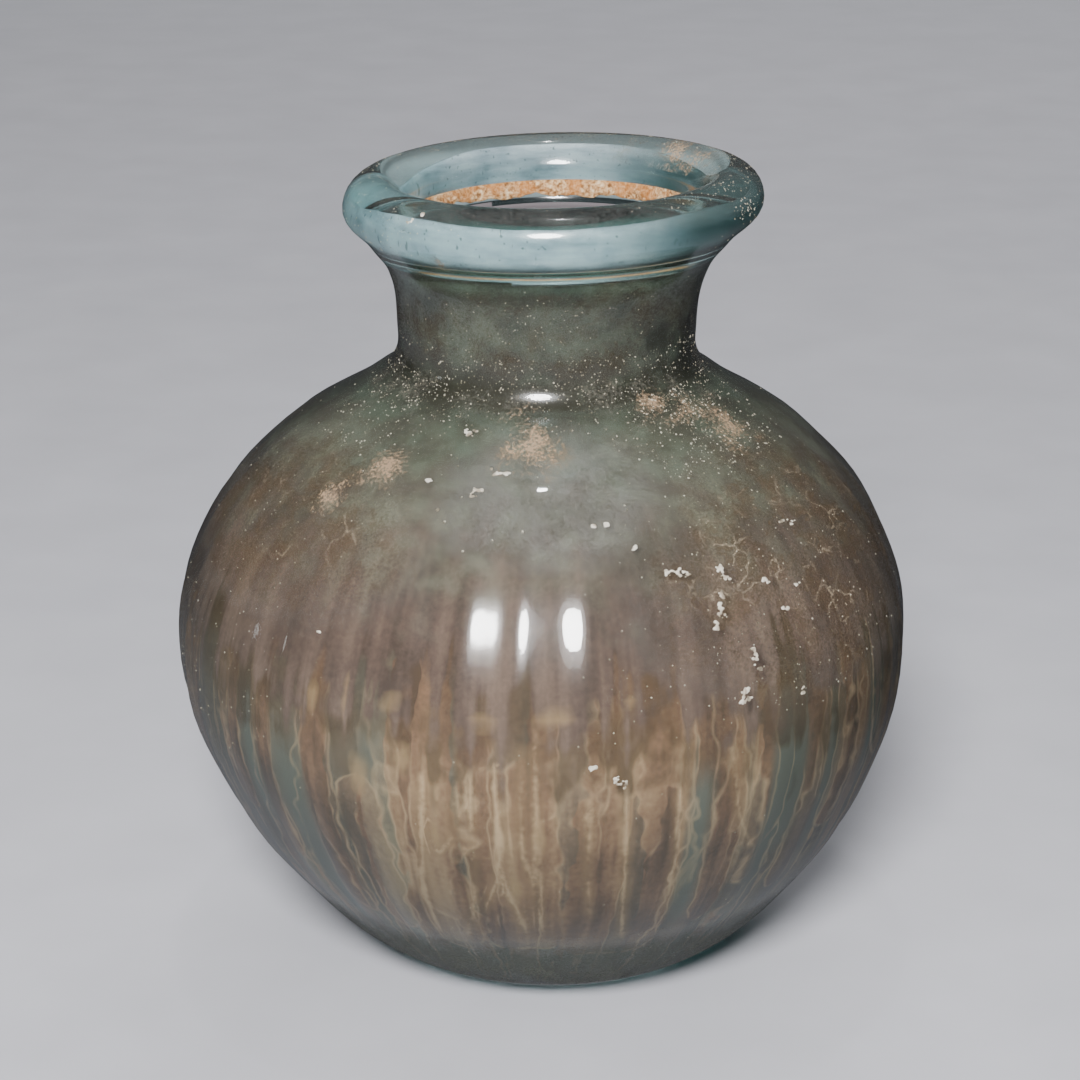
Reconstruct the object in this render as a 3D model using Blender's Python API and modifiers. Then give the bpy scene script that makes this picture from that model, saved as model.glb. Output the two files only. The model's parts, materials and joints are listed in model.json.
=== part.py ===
"""Blown glass flask with a globular ribbed body, a short neck and a rim folded inward.

Units are metres, +Z is up. The flask stands on z = 0, its widest ring is centred on the Z axis
and its front faces -Y.
"""

import math

import bpy
from mathutils import Vector
from mathutils.geometry import interpolate_bezier

MM = 0.001

# Heights above the resting surface, foot to crest of the lip
HEEL_HEIGHT = 2.4 * MM
LOW_BELLY_HEIGHT = 9.5 * MM
BELLY_HEIGHT = 20.0 * MM
WIDEST_HEIGHT = 33.5 * MM
HIGH_BELLY_HEIGHT = 44.5 * MM
SHOULDER_HEIGHT = 54.2 * MM
HIGH_SHOULDER_HEIGHT = 60.4 * MM
NECK_ROOT_HEIGHT = 62.9 * MM
NECK_WAIST_HEIGHT = 66.5 * MM
NECK_TOP_HEIGHT = 72.3 * MM
LIP_UNDERSIDE_HEIGHT = 75.3 * MM
LIP_SIDE_HEIGHT = 79.0 * MM
LIP_CREST_HEIGHT = 81.9 * MM

# Outer radii at those heights
FOOT_RADIUS = 15.6 * MM
HEEL_RADIUS = 20.5 * MM
LOW_BELLY_RADIUS = 27.5 * MM
BELLY_RADIUS = 34.1 * MM
WIDEST_RADIUS = 37.5 * MM
HIGH_BELLY_RADIUS = 35.0 * MM
SHOULDER_RADIUS = 27.5 * MM
HIGH_SHOULDER_RADIUS = 18.2 * MM
NECK_ROOT_RADIUS = 15.4 * MM
NECK_WAIST_RADIUS = 15.0 * MM
NECK_TOP_RADIUS = 16.0 * MM
LIP_UNDERSIDE_RADIUS = 18.2 * MM
LIP_SIDE_RADIUS = 20.9 * MM
LIP_CREST_RADIUS = 17.9 * MM

# Underside: a flat ring to stand on and a shallow hollow inside it
RING_INNER_RADIUS = 11.6 * MM
KICK_HEIGHT = 1.6 * MM

# Glass thickness
BASE_WALL = 3.1 * MM
BODY_WALL = 1.9 * MM
NECK_WALL = 1.7 * MM
THICK_UP_TO = 16.0 * MM

# Folded layer inside the rim: its inner face, its free lower edge and the groove under it
FOLD_FACE_RADIUS = 14.6 * MM
FOLD_FACE_HEIGHT = 79.4 * MM
FOLD_EDGE_HEIGHT = 77.6 * MM
FOLD_GROOVE_DEPTH = 0.5 * MM
FOLD_GROOVE_HEIGHT = 76.9 * MM
THROAT_RADIUS = 14.1 * MM
THROAT_HEIGHT = 75.8 * MM

# Soft upright ribs blown into the body
RIB_COUNT = 36
RIB_DEPTH = 0.3 * MM
RIB_TURN = math.radians(5.0)
RIBS_START = (7.0 * MM, 15.0 * MM)
RIBS_END = (50.0 * MM, 60.0 * MM)

# Unevenness of free blowing: sideways drift of the axis and the tilt of the mouth
FOOT_DRIFT = 1.0 * MM
NECK_DRIFT = 0.5 * MM
LIP_DRIFT = 1.2 * MM
LIP_TILT_X = 0.024
LIP_TILT_Y = -0.014

SEGMENTS = 2 * RIB_COUNT
BODY_RING_SPACING = 4.5 * MM
LIP_RING_SPACING = 1.4 * MM
GLASS_COLOR = (0.36, 0.50, 0.44, 1.0)


def ramp(value, low, high):
    share = min(max((value - low) / (high - low), 0.0), 1.0)
    return share * share * (3.0 - 2.0 * share)


def curve_through(stations, spacing):
    """Smooth curve through (radius, height) stations, with a point about every spacing."""
    points = [Vector((radius, 0.0, height)) for radius, height in stations]
    steps = [(end - start) for start, end in zip(points, points[1:])]
    slopes = []
    for before, after in zip(steps, steps[1:]):
        near, far = before.length, after.length
        slopes.append((before * (far / near) + after * (near / far)) / (near + far))
    slopes.insert(0, 2.0 * steps[0].normalized() - slopes[0])
    slopes.append(2.0 * steps[-1].normalized() - slopes[-1])
    curve = []
    for index, step in enumerate(steps):
        start, end = points[index], points[index + 1]
        reach = step.length / 3.0
        count = max(2, round(step.length / spacing))
        span = interpolate_bezier(
            start, start + slopes[index] * reach, end - slopes[index + 1] * reach, end, count + 1)
        curve += [Vector((point.x, point.z)) for point in span[:-1]]
    return curve + [Vector(stations[-1])]


def wall_at(height):
    thin_base = BASE_WALL + (BODY_WALL - BASE_WALL) * ramp(height, 0.0, THICK_UP_TO)
    return thin_base + (NECK_WALL - BODY_WALL) * ramp(height, HIGH_BELLY_HEIGHT, NECK_WAIST_HEIGHT)


def inner_wall(outer):
    """The outer curve set back by the glass thickness, from foot to neck."""
    inner = []
    for index in range(1, len(outer) - 1):
        along = (outer[index + 1] - outer[index - 1]).normalized()
        inward = Vector((-along.y, along.x))
        inner.append(outer[index] + inward * wall_at(outer[index].y))
    return inner


def flask_profile():
    """Half section from the inner floor up the inside, over the lip and down the outside."""
    body = curve_through([
        (FOOT_RADIUS, 0.0),
        (HEEL_RADIUS, HEEL_HEIGHT),
        (LOW_BELLY_RADIUS, LOW_BELLY_HEIGHT),
        (BELLY_RADIUS, BELLY_HEIGHT),
        (WIDEST_RADIUS, WIDEST_HEIGHT),
        (HIGH_BELLY_RADIUS, HIGH_BELLY_HEIGHT),
        (SHOULDER_RADIUS, SHOULDER_HEIGHT),
        (HIGH_SHOULDER_RADIUS, HIGH_SHOULDER_HEIGHT),
        (NECK_ROOT_RADIUS, NECK_ROOT_HEIGHT),
        (NECK_WAIST_RADIUS, NECK_WAIST_HEIGHT),
        (NECK_TOP_RADIUS, NECK_TOP_HEIGHT),
    ], BODY_RING_SPACING)
    lip_outside = curve_through([
        (NECK_TOP_RADIUS, NECK_TOP_HEIGHT),
        (LIP_UNDERSIDE_RADIUS, LIP_UNDERSIDE_HEIGHT),
        (LIP_SIDE_RADIUS, LIP_SIDE_HEIGHT),
        (LIP_CREST_RADIUS, LIP_CREST_HEIGHT),
        (FOLD_FACE_RADIUS, FOLD_FACE_HEIGHT),
    ], LIP_RING_SPACING)
    fold_edge = [
        Vector((FOLD_FACE_RADIUS + 0.1 * MM, FOLD_EDGE_HEIGHT)),
        Vector((FOLD_FACE_RADIUS + FOLD_GROOVE_DEPTH, FOLD_GROOVE_HEIGHT)),
        Vector((THROAT_RADIUS, THROAT_HEIGHT)),
    ]
    floor = [
        Vector((0.0, KICK_HEIGHT + BASE_WALL)),
        Vector((0.5 * FOOT_RADIUS, KICK_HEIGHT + 0.8 * BASE_WALL)),
    ]
    underside = curve_through([
        (RING_INNER_RADIUS, 0.0),
        (0.55 * RING_INNER_RADIUS, 0.8 * KICK_HEIGHT),
        (0.0, KICK_HEIGHT),
    ], BODY_RING_SPACING)
    inside = floor + inner_wall(body) + list(reversed(fold_edge))
    outside = list(reversed(body + lip_outside[1:]))
    return inside + outside + underside


def turned_mesh(profile):
    """The profile turned once round Z, as a closed mesh."""
    line = bpy.data.meshes.new("flask_profile")
    line.from_pydata(
        [(point.x, 0.0, point.y) for point in profile],
        [(index, index + 1) for index in range(len(profile) - 1)],
        [],
    )
    turned = bpy.data.objects.new("flask_profile", line)
    bpy.context.scene.collection.objects.link(turned)
    screw = turned.modifiers.new("Turn", "SCREW")
    screw.axis = "Z"
    screw.steps = SEGMENTS
    screw.render_steps = SEGMENTS
    screw.use_merge_vertices = True
    screw.merge_threshold = 0.00001
    view = bpy.context.evaluated_depsgraph_get()
    mesh = bpy.data.meshes.new_from_object(turned.evaluated_get(view))
    bpy.data.objects.remove(turned)
    return mesh


def rib_height(angle, height):
    fade = ramp(height, *RIBS_START) * (1.0 - ramp(height, *RIBS_END))
    return 0.5 * RIB_DEPTH * fade * math.cos(RIB_COUNT * (angle - RIB_TURN))


def axis_drift(height):
    low = FOOT_DRIFT * (1.0 - ramp(height, 0.0, WIDEST_HEIGHT))
    neck = NECK_DRIFT * ramp(height, WIDEST_HEIGHT, NECK_WAIST_HEIGHT)
    return low + neck + (LIP_DRIFT - NECK_DRIFT) * ramp(height, NECK_WAIST_HEIGHT, LIP_CREST_HEIGHT)


def shape_by_hand(mesh):
    """Ribs, drift of the axis and tilt of the mouth."""
    for vertex in mesh.vertices:
        x, y, z = vertex.co
        radius = math.hypot(x, y)
        if radius > 0.0:
            swell = 1.0 + rib_height(math.atan2(y, x), z) / radius
            x *= swell
            y *= swell
        tilt = (LIP_TILT_X * x + LIP_TILT_Y * y) * ramp(z, NECK_WAIST_HEIGHT, LIP_UNDERSIDE_HEIGHT)
        vertex.co = (x + axis_drift(z), y, z + tilt)


def glass_material():
    material = bpy.data.materials.new("blown_glass")
    material.use_nodes = True
    shader = material.node_tree.nodes["Principled BSDF"]
    shader.inputs["Base Color"].default_value = GLASS_COLOR
    shader.inputs["Roughness"].default_value = 0.12
    shader.inputs["Metallic"].default_value = 0.0
    shader.inputs["IOR"].default_value = 1.52
    shader.inputs["Transmission Weight"].default_value = 0.6
    material.diffuse_color = GLASS_COLOR
    return material


def main():
    for old in list(bpy.data.objects):
        bpy.data.objects.remove(old)
    collection = bpy.data.collections.new("glass_perfume_flask")
    bpy.context.scene.collection.children.link(collection)
    mesh = turned_mesh(flask_profile())
    shape_by_hand(mesh)
    mesh.name = "glass_flask"
    mesh.materials.clear()
    mesh.materials.append(glass_material())
    mesh.shade_smooth()
    mesh.set_sharp_from_angle(angle=math.radians(50.0))
    flask = bpy.data.objects.new("glass_flask", mesh)
    collection.objects.link(flask)


main()
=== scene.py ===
import json
import math
import random

import bpy
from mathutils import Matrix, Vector, noise

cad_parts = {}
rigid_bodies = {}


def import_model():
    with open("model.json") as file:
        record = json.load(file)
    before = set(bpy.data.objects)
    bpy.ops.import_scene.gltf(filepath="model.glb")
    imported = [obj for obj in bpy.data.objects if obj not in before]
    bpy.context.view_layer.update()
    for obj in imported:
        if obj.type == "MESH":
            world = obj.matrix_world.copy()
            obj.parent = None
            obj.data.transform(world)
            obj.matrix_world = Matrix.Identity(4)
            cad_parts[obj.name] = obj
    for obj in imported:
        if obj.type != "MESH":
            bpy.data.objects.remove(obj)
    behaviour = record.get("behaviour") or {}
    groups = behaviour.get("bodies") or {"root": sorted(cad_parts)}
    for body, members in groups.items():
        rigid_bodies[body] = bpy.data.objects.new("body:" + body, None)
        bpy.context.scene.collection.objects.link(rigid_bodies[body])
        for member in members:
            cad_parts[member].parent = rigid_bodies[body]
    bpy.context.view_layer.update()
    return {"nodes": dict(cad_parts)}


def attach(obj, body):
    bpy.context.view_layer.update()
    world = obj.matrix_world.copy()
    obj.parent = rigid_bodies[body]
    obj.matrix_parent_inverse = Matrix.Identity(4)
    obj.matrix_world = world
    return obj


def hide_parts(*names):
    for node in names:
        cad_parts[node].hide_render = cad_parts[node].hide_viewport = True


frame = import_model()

mm = 0.001
print("frame loaded:", sorted(frame["nodes"]))


def linearColour(hexColour):
    parts = [int(hexColour[i:i + 2], 16) / 255 for i in (1, 3, 5)]
    return tuple(p / 12.92 if p <= 0.04045 else ((p + 0.055) / 1.055) ** 2.4 for p in parts) + (1.0,)


def smoothStep(value, low, high):
    share = min(max((value - low) / (high - low), 0.0), 1.0)
    return share * share * (3 - 2 * share)


def useOnly(piece):
    # an operator acts on all that is selected, so one piece is picked and nothing else
    if bpy.context.object and bpy.context.object.mode != "OBJECT":
        bpy.ops.object.mode_set(mode="OBJECT")
    for item in bpy.context.scene.objects:
        item.select_set(item == piece)
    bpy.context.view_layer.objects.active = piece


def deleteFaces(piece, unwanted):
    useOnly(piece)
    bpy.ops.object.mode_set(mode="EDIT")
    bpy.ops.mesh.select_mode(type="FACE")
    bpy.ops.mesh.select_all(action="DESELECT")
    bpy.ops.object.mode_set(mode="OBJECT")
    for face in piece.data.polygons:
        face.select = unwanted(face)
    bpy.ops.object.mode_set(mode="EDIT")
    bpy.ops.mesh.delete(type="FACE")


def joinPieces(parts):
    useOnly(parts[0])
    for part in parts[1:]:
        part.select_set(True)
    if len(parts) > 1:
        bpy.ops.object.join()
    return bpy.context.object


def applyModifier(piece, kind, settings):
    modifier = piece.modifiers.new(kind.title(), kind)
    for key, value in settings.items():
        setattr(modifier, key, value)
    useOnly(piece)
    bpy.ops.object.modifier_apply(modifier=modifier.name)


def setSockets(tree, node, sockets):
    # a plain value is set on its socket, and a node or one of its outputs is linked to it
    for key, value in sockets.items():
        if isinstance(value, bpy.types.Node):
            value = value.outputs[0]
        if isinstance(value, bpy.types.NodeSocket):
            tree.links.new(value, node.inputs[key])
        else:
            node.inputs[key].default_value = value


def addNode(tree, kind, settings):
    # settings are the node's switches, a ramp's stops, plain socket values and links
    node = tree.nodes.new("ShaderNode" + kind)
    for key, value in settings.items():
        if key == "stops":
            elements = node.color_ramp.elements
            while len(elements) < len(value):
                elements.new(0.5)
            for element, (place, colour) in zip(elements, value):
                element.position, element.color = place, linearColour(colour)
        elif isinstance(key, str) and hasattr(node, key):
            setattr(node, key, value)
        else:
            setSockets(tree, node, {key: value})
    return node


def workOut(tree, fields, rows):
    # each row works a field out: a sum of others, or the span of one from, to, and what it reaches if not 1
    for name, kind, first, *rest in rows:
        first, *rest = (fields.get(term, term) for term in (first, *rest))
        if kind == "SPAN":
            fields[name] = addNode(tree, "MapRange", {
                "Value": first, **dict(zip(("From Min", "From Max", "To Max", "To Min"), rest))})
        else:
            fields[name] = addNode(tree, "Math", {"operation": kind, **dict(enumerate((first, *rest)))})


def drawPoints(piece, names, rows):
    # a row of values for each point of the piece, stored under their names
    for name, values in zip(names, zip(*rows)):
        piece.data.attributes.new(name, "FLOAT", "POINT").data.foreach_set("value", values)


def newMaterial(piece, name):
    # put on the piece; what comes back is its tree, its shader and the output that gives a place on the piece
    material = bpy.data.materials.new(name)
    material.use_nodes = True
    piece.data.materials.append(material)
    tree = material.node_tree
    return tree, tree.nodes["Principled BSDF"], addNode(tree, "TexCoord", {}).outputs["Object"]


# camera: a long lens 20 degrees above the level, as the photograph was taken
cameraPlace = {"elevation": 20, "distance": 309.1, "aimHeight": 42.9, "aimSide": -0.155, "lens": 100}


def placeAround(aim, azimuth, elevation, distance):
    turn, lift = math.radians(azimuth), math.radians(elevation)
    level = Vector((math.sin(turn), -math.cos(turn), 0))
    return aim + distance * (math.cos(lift) * level + Vector((0, 0, math.sin(lift))))


def makeCamera():
    aim = Vector((cameraPlace["aimSide"], 0, cameraPlace["aimHeight"])) * mm
    elevation = cameraPlace["elevation"]
    bpy.ops.object.camera_add(location=placeAround(aim, 0, elevation, cameraPlace["distance"] * mm),
                              rotation=(math.radians(90 - elevation), 0, 0))
    camera = bpy.context.object
    camera.name = "photoCamera"
    camera.data.sensor_width = 36
    camera.data.lens = cameraPlace["lens"]
    camera.data.clip_start = 0.01
    bpy.context.scene.camera = camera


makeCamera()
print("camera placed")

# the glass vessel: one turned wall, inside and outside, as on the CAD solid
flaskShape = {
    # (radius, height) in mm, from the middle of the inner floor up the inside
    "inside": [
        (0, 4.70), (7.8, 4.12), (13.6, 3.62), (18.8, 4.96), (25.6, 10.98), (32.26, 20.77), (35.48, 33.47),
        (33.17, 43.70), (26.2, 52.82), (17.04, 59.02), (13.84, 62.12), (13.28, 66.49), (14.38, 72.80),
        (14.1, 75.75)],
    "foldEdge": [(15.1, 76.9), (14.7, 77.6)],
    "lip": [(14.6, 79.4), (17.85, 81.84), (20.85, 79), (18.2, 75.3)],
    "outside": [
        (16, 72.3), (14.98, 66.5), (15.38, 62.9), (18.18, 60.4), (27.45, 54.2), (34.92, 44.5),
        (37.38, 33.5), (34, 20), (27.42, 9.5), (20.45, 2.45), (15.6, 0, "VECTOR")],
    "underside": [(11.6, 0, "VECTOR"), (6.4, 1.25), (0, 1.6)],
    "segments": 324, "cuts": 7, "bellyRadius": 37.4, "wall": 1.9,
    # heights: where the ribs begin and end, the widest ring, the neck's waist, the lip's underside, its crest
    "ribsFrom": (6, 15), "ribsTo": (49, 60), "belly": 33.5, "waist": 66.5, "lipUnder": 75.3, "crest": 81.9,
    "ribCount": 36, "ribDepth": 0.30, "ribTurn": 5, "ribLean": 1.5, "innerRibShare": 0.3,
    "footDrift": 1, "neckDrift": 0.5, "lipDrift": 1.2, "lipTilt": (0.024, -0.014),
    "unevenness": 0.10, "unevenSize": 16, "seed": 3.7,
}


weld = 0.000005  # points nearer to each other than this, in metres, become one


def turnProfile(name, stations, segments, cuts, closed=False):
    # a Bezier curve with one point for each station, turned once round Z
    bpy.ops.curve.primitive_bezier_curve_add(location=(0, 0, 0))
    piece = bpy.context.object
    piece.name = name
    spline = piece.data.splines[0]
    spline.bezier_points.add(len(stations) - len(spline.bezier_points))
    for point, (radius, height, *handle) in zip(spline.bezier_points, stations):
        point.co = (radius * mm, 0, height * mm)
        point.handle_left_type = point.handle_right_type = handle[0] if handle else "AUTO"
    spline.use_cyclic_u = closed
    piece.data.resolution_u = spline.resolution_u = cuts
    useOnly(piece)
    bpy.ops.object.convert(target="MESH")
    piece = bpy.context.object
    applyModifier(piece, "SCREW", {"axis": "Z", "steps": segments, "render_steps": segments,
                                   "use_merge_vertices": True, "merge_threshold": weld})
    bpy.ops.object.mode_set(mode="EDIT")
    bpy.ops.mesh.select_all(action="SELECT")
    bpy.ops.mesh.remove_doubles(threshold=weld)
    bpy.ops.mesh.normals_make_consistent(inside=False)
    bpy.ops.object.mode_set(mode="OBJECT")
    bpy.ops.object.shade_smooth()
    return piece


def axisDrift(height):
    shape = flaskShape
    low = shape["footDrift"] * (1 - smoothStep(height, 0, shape["belly"]))
    neck = shape["neckDrift"] * smoothStep(height, shape["belly"], shape["waist"])
    lip = (shape["lipDrift"] - shape["neckDrift"]) * smoothStep(height, shape["waist"], shape["crest"])
    return low + neck + lip


def leaned(x, y, height):
    # a point of the upright flask in mm, moved with the drift of the axis and the tilt of the mouth
    shape = flaskShape
    tilt = shape["lipTilt"][0] * x + shape["lipTilt"][1] * y
    tilt *= smoothStep(height, shape["waist"], shape["lipUnder"])
    return Vector((x + axisDrift(height), y, height + tilt)) * mm


def fromAxis(place):
    # the level way out from the drifting axis to a place in mm
    return Vector((place.x - axisDrift(place.z), place.y, 0))


def azimuthOf(outward):
    # degrees round the flask from its front, which faces -Y, growing to the right
    return math.degrees(math.atan2(outward.x, -outward.y))


def stepRound(azimuth, other):
    return (azimuth - other + 180) % 360 - 180


def wallRadius(run, height):
    # radius of a wall at a height, read along its stations, all in mm
    for (r0, h0, *_), (r1, h1, *_) in zip(run, run[1:]):
        if min(h0, h1) <= height <= max(h0, h1) and h0 != h1:
            return r0 + (r1 - r0) * (height - h0) / (h1 - h0)
    return run[-1][0]


def blowByHand(piece):
    # soft upright ribs and the small unevenness of a blown wall
    shape = flaskShape
    turn, count = math.radians(shape["ribTurn"]), shape["ribCount"]
    for vertex in piece.data.vertices:
        x, y, height = vertex.co / mm
        radius = math.hypot(x, y)
        if radius > 0.1:
            angle = math.atan2(y, x)
            fade = smoothStep(height, *shape["ribsFrom"]) * (1 - smoothStep(height, *shape["ribsTo"]))
            depth = (radius - wallRadius(shape["inside"], height)) / shape["wall"]
            share = shape["innerRibShare"] + (1 - shape["innerRibShare"]) * smoothStep(depth, 0.4, 0.9)
            wander = noise.noise(Vector((2 * math.cos(angle), 2 * math.sin(angle), height / 60 + shape["seed"])))
            phase = count * (angle - turn) + 1.3 * wander * fade - shape["ribLean"] * smoothStep(height, 20, 36)
            wave = math.cos(phase) + 0.22 * math.cos(2 * phase + 1.0 + 3 * wander)
            swell = 0.5 * shape["ribDepth"] * fade * share * wave * (0.8 + 0.5 * wander)
            rough = noise.noise(Vector((x, y, height)) / shape["unevenSize"] + Vector((shape["seed"], 0, 0)))
            rough *= smoothStep(height, 3, 12) * (1 - 0.6 * smoothStep(height, 70, 78))
            swell += shape["unevenness"] * rough
            x, y = x * (1 + swell / radius), y * (1 + swell / radius)
        vertex.co = leaned(x, y, height)


glassLook = {"tint": "#f3faf7", "depthColour": (0.14, 0.69, 0.66), "depthDensity": 75.0,
             "shadowTint": "#f0f5f3", "pitSize": 0.35, "pitDepth": 0.008, "roughness": 0.06,
             "grazingShadow": "#1e2524",
             "plain": {"IOR": 1.52, "Transmission Weight": 1.0, "Specular IOR Level": 0.32, "Coat Weight": 0.45,
                       "Coat IOR": 1.45, "Coat Roughness": 0.24}}


def blownGlassMaterial(piece):
    # natron glass, free blown and long buried: clear blue green, deeper where thick, its face faintly etched
    look = glassLook
    tree, shader, place = newMaterial(piece, "natronGlass")
    pits = addNode(tree, "TexNoise", {"Scale": 1 / (look["pitSize"] * mm), "Detail": 1.0, "Vector": place})
    cloudy = addNode(tree, "TexNoise", {"Scale": 90.0, "Detail": 2.0, "Vector": place})
    etched = addNode(tree, "MapRange", {"From Min": 0.35, "From Max": 0.75, "To Min": look["roughness"] * 0.6,
                                        "To Max": look["roughness"] * 2.4, "Value": cloudy})
    bump = addNode(tree, "Bump", {"Strength": 0.2, "Distance": look["pitDepth"] * mm, "Height": pits})
    setSockets(tree, shader, {
        "Base Color": linearColour(look["tint"]), **look["plain"], "Roughness": etched, "Normal": bump})
    # light falls through the wall on to the film inside, but the edge of the glass bends it away and shades
    ray = addNode(tree, "LightPath", {}).outputs["Is Shadow Ray"]
    grazing = addNode(tree, "LayerWeight", {"Blend": 0.5}).outputs["Facing"]
    grazing = addNode(tree, "MapRange", {"From Min": 0.35, "From Max": 0.8, "Value": grazing})
    passed = addNode(tree, "MixRGB", {"Fac": grazing, "Color1": linearColour(look["shadowTint"]),
                                      "Color2": linearColour(look["grazingShadow"])})
    through = addNode(tree, "BsdfTransparent", {"Color": passed})
    mix = addNode(tree, "MixShader", {0: ray, 1: shader, 2: through})
    depth = addNode(tree, "VolumeAbsorption", {
        "Color": look["depthColour"] + (1,), "Density": look["depthDensity"]})
    setSockets(tree, tree.nodes["Material Output"], {"Surface": mix, "Volume": depth})


def makeFlaskGlass():
    shape = flaskShape
    stations = shape["inside"] + shape["foldEdge"] + shape["lip"] + shape["outside"] + shape["underside"]
    piece = turnProfile("flaskGlass", stations, shape["segments"], shape["cuts"])
    blowByHand(piece)
    blownGlassMaterial(piece)
    return piece


flaskGlass = makeFlaskGlass()
print("glass wall turned:", len(flaskGlass.data.polygons), "faces")


def skinOf(source, name, wanted, gap, thickness):
    # the wanted faces of the glass, copied, lifted off it by a gap and made a thin layer
    useOnly(source)
    bpy.ops.object.duplicate()
    piece = bpy.context.object
    piece.name = piece.data.name = name
    piece.data.materials.clear()
    deleteFaces(piece, lambda face: not wanted(face.center / mm, face.normal))
    bpy.ops.mesh.select_all(action="SELECT")
    bpy.ops.transform.shrink_fatten(value=gap * mm)
    bpy.ops.object.mode_set(mode="OBJECT")
    applyModifier(piece, "SOLIDIFY", {"thickness": thickness * mm, "offset": 1.0, "use_rim": True})
    bpy.ops.object.shade_smooth()
    return piece


def facesCavity(centre, normal):
    outward = fromAxis(centre)
    facesIn = outward.length < 0.5 or normal.dot(outward.normalized()) < -0.02 or normal.z > 0.4
    inside = outward.length < wallRadius(flaskShape["inside"], centre.z) + filmShape["slack"]
    return facesIn and inside and filmShape["floor"] < centre.z < filmShape["throat"]


# the dried soil film inside: lobes and drips that ran down the wall, clean streaks between them
filmShape = {
    "gap": -0.03, "thickness": 0.08,  # it is bonded to the glass, so it starts in it
    "floor": 3.2, "throat": 75.2, "slack": 1.2, "degreeWidth": 0.61, "seed": 11,
    # lobes: azimuth from and to, top and bottom height, corner radius
    "lobes": [
        (-23.5, -13.5, 44, 9.8, 3), (-13, 3, 44, 10.6, 2.5), (2, 23.5, 44, 9.6, 3),
        (27, 33.6, 44, 12.6, 2.4), (34.4, 38.2, 44, 17, 1.6), (45, 49.6, 44, 14.5, 1.8),
        (52, 60, 44, 20, 2.2), (-33, -25.6, 31, 12, 2.4), (-39.5, -34, 44, 13.4, 2),
        (-50, -46, 44, 18, 1.8), (-59.5, -54, 44, 22, 2)],
    # drips: (azimuth, height) along each cream line
    "drips": [
        [(-17.8, 32.6), (-18.6, 27.4), (-21.2, 19.5), (-22.4, 13)],
        [(-12.9, 30.7), (-14.2, 24.8), (-16.4, 24), (-17.8, 26.7)],
        [(-10.6, 32.6), (-11.5, 22.2), (-12.9, 17), (-16, 13)],
        [(-7, 33.3), (-6.4, 24.8), (-7.5, 20.9), (-11.5, 16.3)], [(-6.6, 20.5), (-4.4, 14.3)],
        [(-3, 35.2), (-3.5, 24.8), (-2, 19.5), (-1.2, 14.3)], [(-1.2, 35.2), (-0.8, 19.5)],
        [(7, 30), (6.8, 20.9), (7.5, 15.6)], [(12.6, 30.7), (13.2, 22.2), (13.9, 15.6), (15.3, 12.4)],
        [(62.1, 39.8), (63, 32), (65.7, 26.7), (70, 24.8)], [(21, 30), (22, 18)],
        [(29.5, 33), (31.5, 27), (36, 22)]],
    # clean streaks: azimuth, width, top and bottom height
    "streaks": [
        (-42.5, 2.6, 33, 10), (-51.5, 1.6, 37, 21), (-26.5, 1.6, 36.5, 31), (24.8, 1.8, 32, 13),
        (39.5, 2, 35, 15), (42.6, 2.6, 34, 20), (51, 1.2, 34, 18), (64.5, 3, 40, 24)],
    # pale spots: azimuth, height, half width, half height
    "spots": [
        (-28.6, 31.3, 1.1, 1.9), (-20.9, 33.4, 0.7, 1.5), (-37, 37.2, 0.7, 1.5), (-31.3, 38.2, 0.4, 1.8),
        (-23.4, 38.6, 1.1, 1.1), (-9, 37.5, 1.6, 1), (2.3, 38.4, 1.8, 1), (13.4, 39, 0.7, 0.7),
        (-16.9, 25.6, 0.45, 1.8), (-14.3, 23.2, 0.9, 0.9), (-5.1, 19.4, 0.5, 1.9), (-0.6, 26.6, 0.6, 2.4)],
}


def filmPattern():
    # the side away from the camera gets lobes, drips and streaks of the same kind
    shape, dice = filmShape, random.Random(filmShape["seed"])
    lobes, drips, streaks = list(shape["lobes"]), list(shape["drips"]), list(shape["streaks"])
    azimuth = 72.0
    while azimuth < 292:
        width = dice.uniform(4.5, 13)
        bottom = dice.uniform(9.8, 19)
        lobes.append((azimuth, azimuth + width, 44.0, bottom, dice.uniform(1.6, 3)))
        for _ in range(dice.choice((0, 1, 1, 2))):
            start, lean = azimuth + dice.uniform(0.15, 0.85) * width, dice.uniform(-1.5, 1.5)
            drips.append([(start, dice.uniform(28, 35)), (start + lean * 0.3, 24), (start + lean, bottom + 2)])
        azimuth += width + dice.uniform(0.6, 2)
        if dice.random() < 0.3:
            streaks.append((azimuth + 1.5, dice.uniform(1.4, 2.8), dice.uniform(31, 37), dice.uniform(10, 22)))
            azimuth += 3.5
    return lobes, drips, streaks


def distanceToLine(u, v, line, degree):
    best = 9.0
    for (a0, v0), (a1, v1) in zip(line, line[1:]):
        along, up = stepRound(a1, a0) * degree, v1 - v0
        du, dv = stepRound(u, a0) * degree, v - v0
        share = min(max((du * along + dv * up) / (along * along + up * up), 0), 1)
        best = min(best, math.hypot(du - share * along, dv - share * up))
    return best


def besideLine(azimuth, height, line, degree):
    # how far to the right of a run the point lies, in mm
    for (a0, v0), (a1, v1) in zip(line, line[1:]):
        if min(v0, v1) <= height <= max(v0, v1) and v0 != v1:
            return stepRound(azimuth, a0 + stepRound(a1, a0) * (height - v0) / (v1 - v0)) * degree
    return stepRound(azimuth, line[0][0] if height > line[0][1] else line[-1][0]) * degree


filmFields = ("lobeEdge", "dripLine", "dripSide", "streakShare", "spotEdge", "ribWave", "cavitySide")


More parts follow.
